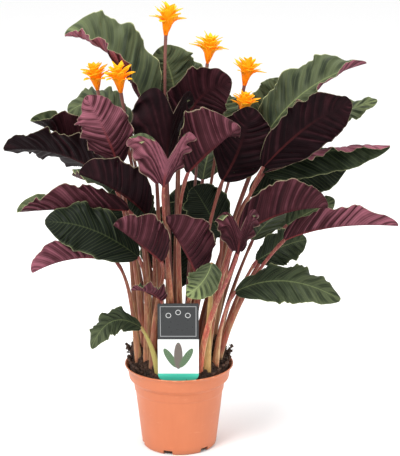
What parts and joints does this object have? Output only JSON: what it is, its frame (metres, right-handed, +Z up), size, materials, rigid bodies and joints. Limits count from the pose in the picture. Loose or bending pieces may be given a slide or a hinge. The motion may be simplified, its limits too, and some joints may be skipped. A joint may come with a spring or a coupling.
{
  "type": "potted eternal flame calathea",
  "caption": "Calathea with patterned dark leaves, wine-red underneath, and orange torch-like blooms on bare stalks, growing in a round plastic nursery pot with a stick-in label.",
  "frame": {"origin": "centre of the pot's foot, on the surface it stands on", "axes": "+Z up, +X to the right and -Y towards the viewer, as in the picture"},
  "size_m": [0.4873, 0.384, 0.5669],
  "materials": {
    "leaf": "satin living leaf, dark green with pale feather pattern above and wine-red below",
    "bloom": "soft waxy orange bracts",
    "scape": "matte brown-red flower stalk",
    "pot": "satin moulded terracotta-coloured plastic",
    "soil": "loose dark peat",
    "label": "smooth printed plastic card"
  },
  "bodies": {
    "root": {"leaf_01": "leaf", "leaf_02": "leaf", "leaf_03": "leaf", "leaf_04": "leaf", "leaf_05": "leaf", "leaf_06": "leaf", "leaf_07": "leaf", "leaf_08": "leaf", "leaf_09": "leaf", "leaf_10": "leaf", "leaf_11": "leaf", "leaf_12": "leaf", "leaf_13": "leaf", "leaf_14": "leaf", "leaf_15": "leaf", "leaf_16": "leaf", "leaf_17": "leaf", "leaf_18": "leaf", "leaf_19": "leaf", "leaf_20": "leaf", "leaf_21": "leaf", "leaf_22": "leaf", "leaf_23": "leaf", "leaf_24": "leaf", "leaf_25": "leaf", "leaf_26": "leaf", "leaf_27": "leaf", "leaf_28": "leaf", "leaf_29": "leaf", "leaf_30": "leaf", "leaf_31": "leaf", "leaf_32": "leaf", "leaf_33": "leaf", "leaf_34": "leaf", "leaf_35": "leaf", "leaf_36": "leaf", "leaf_37": "leaf", "leaf_38": "leaf", "leaf_39": "leaf", "leaf_40": "leaf", "bloom_1": "bloom", "bloom_2": "bloom", "bloom_3": "bloom", "bloom_4": "bloom", "bloom_5": "bloom", "bloom_6": "bloom", "scape_1": "scape", "scape_2": "scape", "scape_3": "scape", "scape_4": "scape", "scape_5": "scape", "scape_6": "scape", "pot": "pot", "soil": "soil", "plant_label": "label"}
  },
  "joints": []
}
